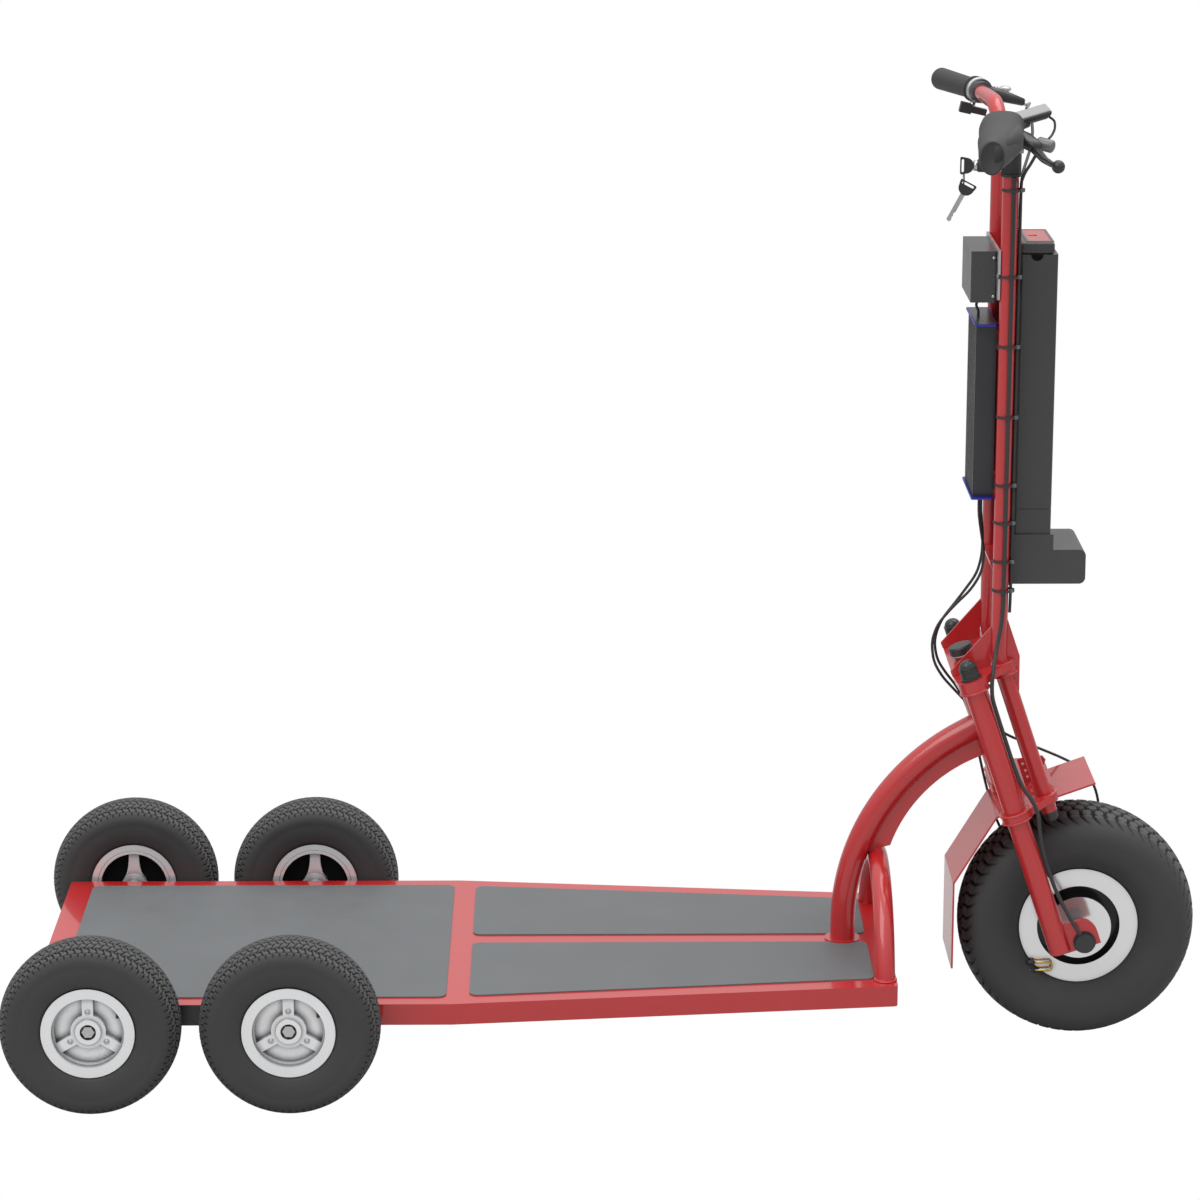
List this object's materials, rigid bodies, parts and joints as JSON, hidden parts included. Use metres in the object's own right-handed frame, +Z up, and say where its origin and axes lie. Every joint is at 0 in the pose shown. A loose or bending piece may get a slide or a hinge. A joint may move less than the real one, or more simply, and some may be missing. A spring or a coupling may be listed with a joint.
{
  "type": "electric cargo scooter",
  "caption": "Stand-on electric cargo scooter with a low flat deck, tandem rear wheels, one steered hub-motor front wheel and a tall twin-tube handlebar column.",
  "frame": {"origin": "on the ground under the middle of the vehicle's box", "axes": "+X forward along the length, +Y to the rider's left, +Z up"},
  "size_m": [1.888, 0.8421, 1.521],
  "materials": {
    "red_paint": "gloss",
    "mat_rubber": "matte",
    "tyre_rubber": "matte",
    "alloy_silver": "polished",
    "zinc_steel": "satin",
    "black_plastic": "matte",
    "dark_case": "matte",
    "grip_rubber": "matte",
    "fin_alloy": "anodised",
    "blue_anodised": "anodised",
    "red_window": "gloss",
    "cable_black": "satin"
  },
  "bodies": {
    "frame": {"deck_tray": "red_paint", "deck_rails": "red_paint", "rear_mat": "mat_rubber", "front_mats": "mat_rubber", "main_arch_tube": "red_paint", "arch_gusset": "red_paint", "front_hoop": "red_paint", "head_tube": "red_paint", "rear_axles": "zinc_steel"},
    "steering": {"stem": "red_paint", "stem_cap": "black_plastic", "upper_crown": "red_paint", "lower_crown": "red_paint", "fork_leg_right": "red_paint", "fork_leg_left": "red_paint", "leg_caps": "black_plastic", "front_axle": "black_plastic", "column_tube_right": "red_paint", "column_tube_left": "red_paint", "column_plugs": "black_plastic", "column_gussets": "red_paint", "column_straps": "red_paint", "fender": "red_paint", "lamp_tab": "red_paint", "battery_rail": "black_plastic", "battery_case": "dark_case", "battery_cap": "dark_case", "battery_window": "red_window", "battery_base": "dark_case", "controller_box": "dark_case", "controller_flange": "zinc_steel", "heatsink_box": "fin_alloy", "heatsink_flanges": "blue_anodised", "grip_right": "grip_rubber", "grip_left": "grip_rubber", "brake_levers": "black_plastic", "thumb_throttle": "black_plastic", "display": "black_plastic", "key_switch": "zinc_steel", "keys": "black_plastic", "motor_cable": "cable_black", "brake_cables": "cable_black", "control_cables": "cable_black", "zip_ties": "cable_black"},
    "front_wheel": {"front_motor": "alloy_silver", "front_tyre": "tyre_rubber"},
    "rear_wheel_1R": {"rear_rim_1R": "alloy_silver", "rear_tyre_1R": "tyre_rubber"},
    "rear_wheel_1L": {"rear_rim_1L": "alloy_silver", "rear_tyre_1L": "tyre_rubber"},
    "rear_wheel_2R": {"rear_rim_2R": "alloy_silver", "rear_tyre_2R": "tyre_rubber"},
    "rear_wheel_2L": {"rear_rim_2L": "alloy_silver", "rear_tyre_2L": "tyre_rubber"}
  },
  "joints": [
    {"name": "steering_turn", "type": "hinge", "parent": "frame", "child": "steering", "pos_m": [0.7746, 0, 0], "axis": [-0.3198, 0, 0.9475], "range_deg": [-45, 45]},
    {"name": "front_wheel_spin", "type": "hinge", "parent": "steering", "child": "front_wheel", "pos_m": [0.75347, 0, 0.1905], "axis": [0, 1, 0], "continuous": true},
    {"name": "rear_wheel_1R_spin", "type": "hinge", "parent": "frame", "child": "rear_wheel_1R", "pos_m": [-0.497, -0.353, 0.14], "axis": [0, 1, 0], "continuous": true},
    {"name": "rear_wheel_1L_spin", "type": "hinge", "parent": "frame", "child": "rear_wheel_1L", "pos_m": [-0.497, 0.353, 0.14], "axis": [0, 1, 0], "continuous": true},
    {"name": "rear_wheel_2R_spin", "type": "hinge", "parent": "frame", "child": "rear_wheel_2R", "pos_m": [-0.804, -0.353, 0.14], "axis": [0, 1, 0], "continuous": true},
    {"name": "rear_wheel_2L_spin", "type": "hinge", "parent": "frame", "child": "rear_wheel_2L", "pos_m": [-0.804, 0.353, 0.14], "axis": [0, 1, 0], "continuous": true}
  ]
}
